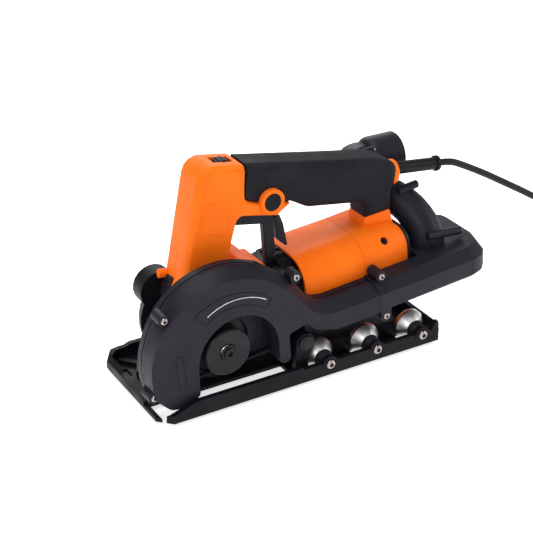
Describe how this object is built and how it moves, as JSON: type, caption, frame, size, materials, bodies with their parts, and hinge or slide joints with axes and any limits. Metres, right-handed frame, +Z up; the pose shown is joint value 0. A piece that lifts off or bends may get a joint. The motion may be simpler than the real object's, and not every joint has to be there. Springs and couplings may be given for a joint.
{
  "type": "wall chaser",
  "caption": "Wall chaser with a tilting bevel-geared motor unit, round blade guard with dust duct, closed grip, rolling base plate and coiled mains lead.",
  "frame": {"origin": "centre of the tool without its lead, on the surface that it stands on", "axes": "+X along the tool from the guard to the lead, +Y from the blade side to the far side, +Z up"},
  "size_m": [0.8315, 0.1739, 0.2418],
  "materials": {
    "housing_orange": "moulded glass-filled nylon, orange, satin sheen",
    "moulded_black": "moulded nylon, bluish black, fine texture",
    "cast_black": "die-cast aluminium, powder-coated black",
    "soft_grip": "soft over-moulded grip, matte",
    "cord_rubber": "rubber cable sheath, matte",
    "polished_steel": "turned and polished steel",
    "fastener_nickel": "nickel-plated socket screws",
    "dark_steel": "blackened steel",
    "winding_copper": "copper bars",
    "carbon": "pressed carbon",
    "glide_nylon": "slippery nylon"
  },
  "bodies": {
    "base": {"base_plate": "cast_black", "front_glide_shoe": "glide_nylon", "near_roller_bolt_1": "fastener_nickel", "near_roller_bolt_2": "fastener_nickel", "near_roller_bolt_3": "fastener_nickel", "pivot_bolt_near": "dark_steel", "power_cord": "cord_rubber", "cord_coil": "cord_rubber", "plug": "cord_rubber"},
    "motor_unit": {"guard_near_cover": "moulded_black", "guard_back_plate": "moulded_black", "tail_duct": "moulded_black", "dust_pipe": "moulded_black", "dust_port": "moulded_black", "gearbox_housing": "cast_black", "gearbox_far_cover": "cast_black", "gearbox_top_cover": "housing_orange", "spindle_bearing_near": "polished_steel", "spindle_bearing_far": "polished_steel", "motor_bearing_front": "polished_steel", "motor_bearing_rear": "polished_steel", "motor_flange_ring": "cast_black", "motor_housing": "housing_orange", "rear_cover": "housing_orange", "brush_cap_near": "moulded_black", "brush_cap_far": "moulded_black", "carbon_brush_near": "carbon", "carbon_brush_far": "carbon", "rear_end_cap": "moulded_black", "stator": "dark_steel", "handle_shell_near": "housing_orange", "handle_shell_far": "housing_orange", "grip_half_near": "soft_grip", "grip_half_far": "soft_grip", "switch_body": "moulded_black", "support_post": "moulded_black", "cord_relief": "cord_rubber", "cord_collar": "housing_orange"},
    "roller_near_1": {"near_roller_1": "polished_steel"},
    "roller_near_2": {"near_roller_2": "polished_steel"},
    "roller_near_3": {"near_roller_3": "polished_steel"},
    "roller_far_1": {"far_roller_1": "polished_steel"},
    "roller_far_2": {"far_roller_2": "polished_steel"},
    "clamp_knob": {"depth_clamp_knob": "moulded_black"},
    "blade_spindle": {"spindle": "polished_steel", "outer_flange": "dark_steel", "spacer_sleeve": "dark_steel", "inner_flange": "dark_steel", "flange_bolt": "polished_steel", "crown_gear": "dark_steel"},
    "armature": {"armature_shaft": "polished_steel", "armature_core": "dark_steel", "commutator": "winding_copper", "cooling_fan": "moulded_black", "drive_pinion": "dark_steel"},
    "trigger_lever": {"trigger": "moulded_black"},
    "lock_on_button": {"lock_button": "soft_grip"},
    "speed_wheel": {"speed_dial": "moulded_black"}
  },
  "joints": [
    {"name": "plunge_tilt", "type": "hinge", "parent": "base", "child": "motor_unit", "pos_m": [-0.02946, 0, 0.0445], "axis": [0, -1, 0], "range_deg": [-4.5, 3.5], "deforming": ["power_cord"]},
    {"name": "roller_near_1_roll", "type": "hinge", "parent": "base", "child": "roller_near_1", "pos_m": [-0.00606, -0.05595, 0.018], "axis": [0, 1, 0], "continuous": true},
    {"name": "roller_near_2_roll", "type": "hinge", "parent": "base", "child": "roller_near_2", "pos_m": [0.05354, -0.05595, 0.018], "axis": [0, 1, 0], "continuous": true},
    {"name": "roller_near_3_roll", "type": "hinge", "parent": "base", "child": "roller_near_3", "pos_m": [0.11334, -0.05595, 0.018], "axis": [0, 1, 0], "continuous": true},
    {"name": "roller_far_1_roll", "type": "hinge", "parent": "base", "child": "roller_far_1", "pos_m": [0.00954, 0.05545, 0.012], "axis": [0, 1, 0], "continuous": true},
    {"name": "roller_far_2_roll", "type": "hinge", "parent": "base", "child": "roller_far_2", "pos_m": [0.09754, 0.05545, 0.012], "axis": [0, 1, 0], "continuous": true},
    {"name": "clamp_knob_turn", "type": "hinge", "parent": "base", "child": "clamp_knob", "pos_m": [-0.02946, 0.06775, 0.0445], "axis": [0, 1, 0], "range_deg": [-90, 90]},
    {"name": "blade_spindle_spin", "type": "hinge", "parent": "motor_unit", "child": "blade_spindle", "pos_m": [-0.12116, -0.01425, 0.06082], "axis": [0, 1, 0], "continuous": true},
    {"name": "armature_spin", "type": "hinge", "parent": "motor_unit", "child": "armature", "pos_m": [0.0283, 0.01175, 0.07348], "axis": [0.9964, 0, 0.0844], "continuous": true},
    {"name": "trigger_pull", "type": "hinge", "parent": "motor_unit", "child": "trigger_lever", "pos_m": [-0.02696, 0.01075, 0.16313], "axis": [0, 1, 0], "range_deg": [0, 6], "stiffness_Nm_per_rad": 0.4, "springref_deg": -5.73},
    {"name": "lock_button_press", "type": "slide", "parent": "motor_unit", "child": "lock_on_button", "axis": [0, 1, 0], "range_m": [0, 0.0035], "stiffness_N_per_m": 600, "springref_m": -0.002},
    {"name": "speed_dial_turn", "type": "hinge", "parent": "motor_unit", "child": "speed_wheel", "pos_m": [-0.08788, 0.01075, 0.23073], "axis": [0, 1, 0], "range_deg": [-140, 140]}
  ],
  "couplings": [
    {"joint": "armature_spin", "follows": "blade_spindle_spin", "ratio": 2}
  ]
}
